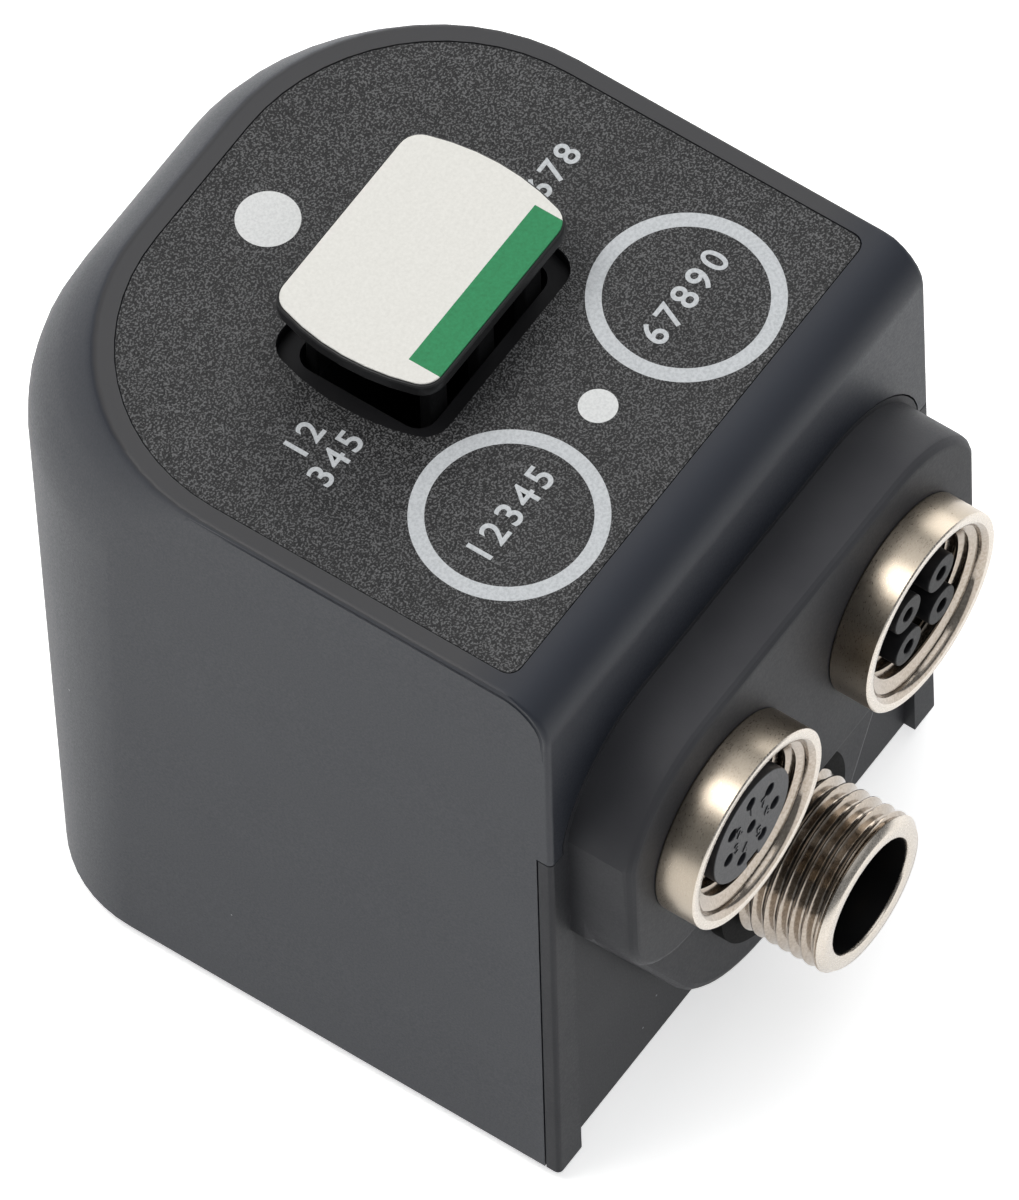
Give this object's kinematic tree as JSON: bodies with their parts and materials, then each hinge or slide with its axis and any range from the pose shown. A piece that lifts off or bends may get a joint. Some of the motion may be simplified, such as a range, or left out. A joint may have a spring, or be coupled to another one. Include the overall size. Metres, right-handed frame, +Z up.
{
  "type": "vibration monitor",
  "caption": "Dark plastic vibration monitor with a touch keypad on top, a lift-off cap over its fixing bolt and round screw connectors in front.",
  "frame": {"origin": "where the fixing bolt's axis meets the mounting surface, under the metal foot", "axes": "+Z up along the bolt, the connectors face -Y, +X to the right when the connectors are looked at from the front"},
  "size_m": [0.0448, 0.0592, 0.0627],
  "materials": {
    "body_plastic": "fine matt moulded plastic, dark grey",
    "front_plastic": "fine matt moulded plastic, dark grey",
    "foil": "embossed black keypad film",
    "print_grey": "light grey print",
    "lamp_window": "white translucent film",
    "light_guide": "clear moulding",
    "cap_plastic": "black moulded plastic",
    "label": "white film with a green band",
    "nickel": "satin nickel plate",
    "dark_nickel": "bright nickel plate on a thread",
    "carrier": "black contact carrier",
    "contact_metal": "gold plated",
    "seal": "black rubber",
    "steel": "turned stainless steel",
    "board": "green circuit board",
    "sensor_can": "plain metal can"
  },
  "bodies": {
    "monitor": {"housing": "body_plastic", "front_plate": "front_plastic", "base_plate": "front_plastic", "mounting_sleeve": "steel", "sleeve_seal": "seal", "keypad_foil": "foil", "key_ring_left": "print_grey", "key_ring_right": "print_grey", "status_window": "lamp_window", "link_window": "lamp_window", "status_light_guide": "light_guide", "link_light_guide": "light_guide", "touch_board": "board", "main_board": "board", "connector_board": "board", "board_link": "carrier", "sensor_element": "sensor_can", "socket_shell_left": "nickel", "socket_shell_right": "nickel", "socket_insert_left": "carrier", "socket_insert_right": "carrier", "socket_contacts_left": "contact_metal", "socket_contacts_right": "contact_metal", "plug_shell": "dark_nickel", "plug_insert": "carrier", "plug_pins": "contact_metal", "plug_seal": "seal"},
    "cap": {"cap": "cap_plastic", "cap_label": "label"}
  },
  "joints": [
    {"name": "cap_slide", "type": "slide", "parent": "monitor", "child": "cap", "axis": [0, 0, 1], "range_m": [-0.0056, 0.012]}
  ]
}
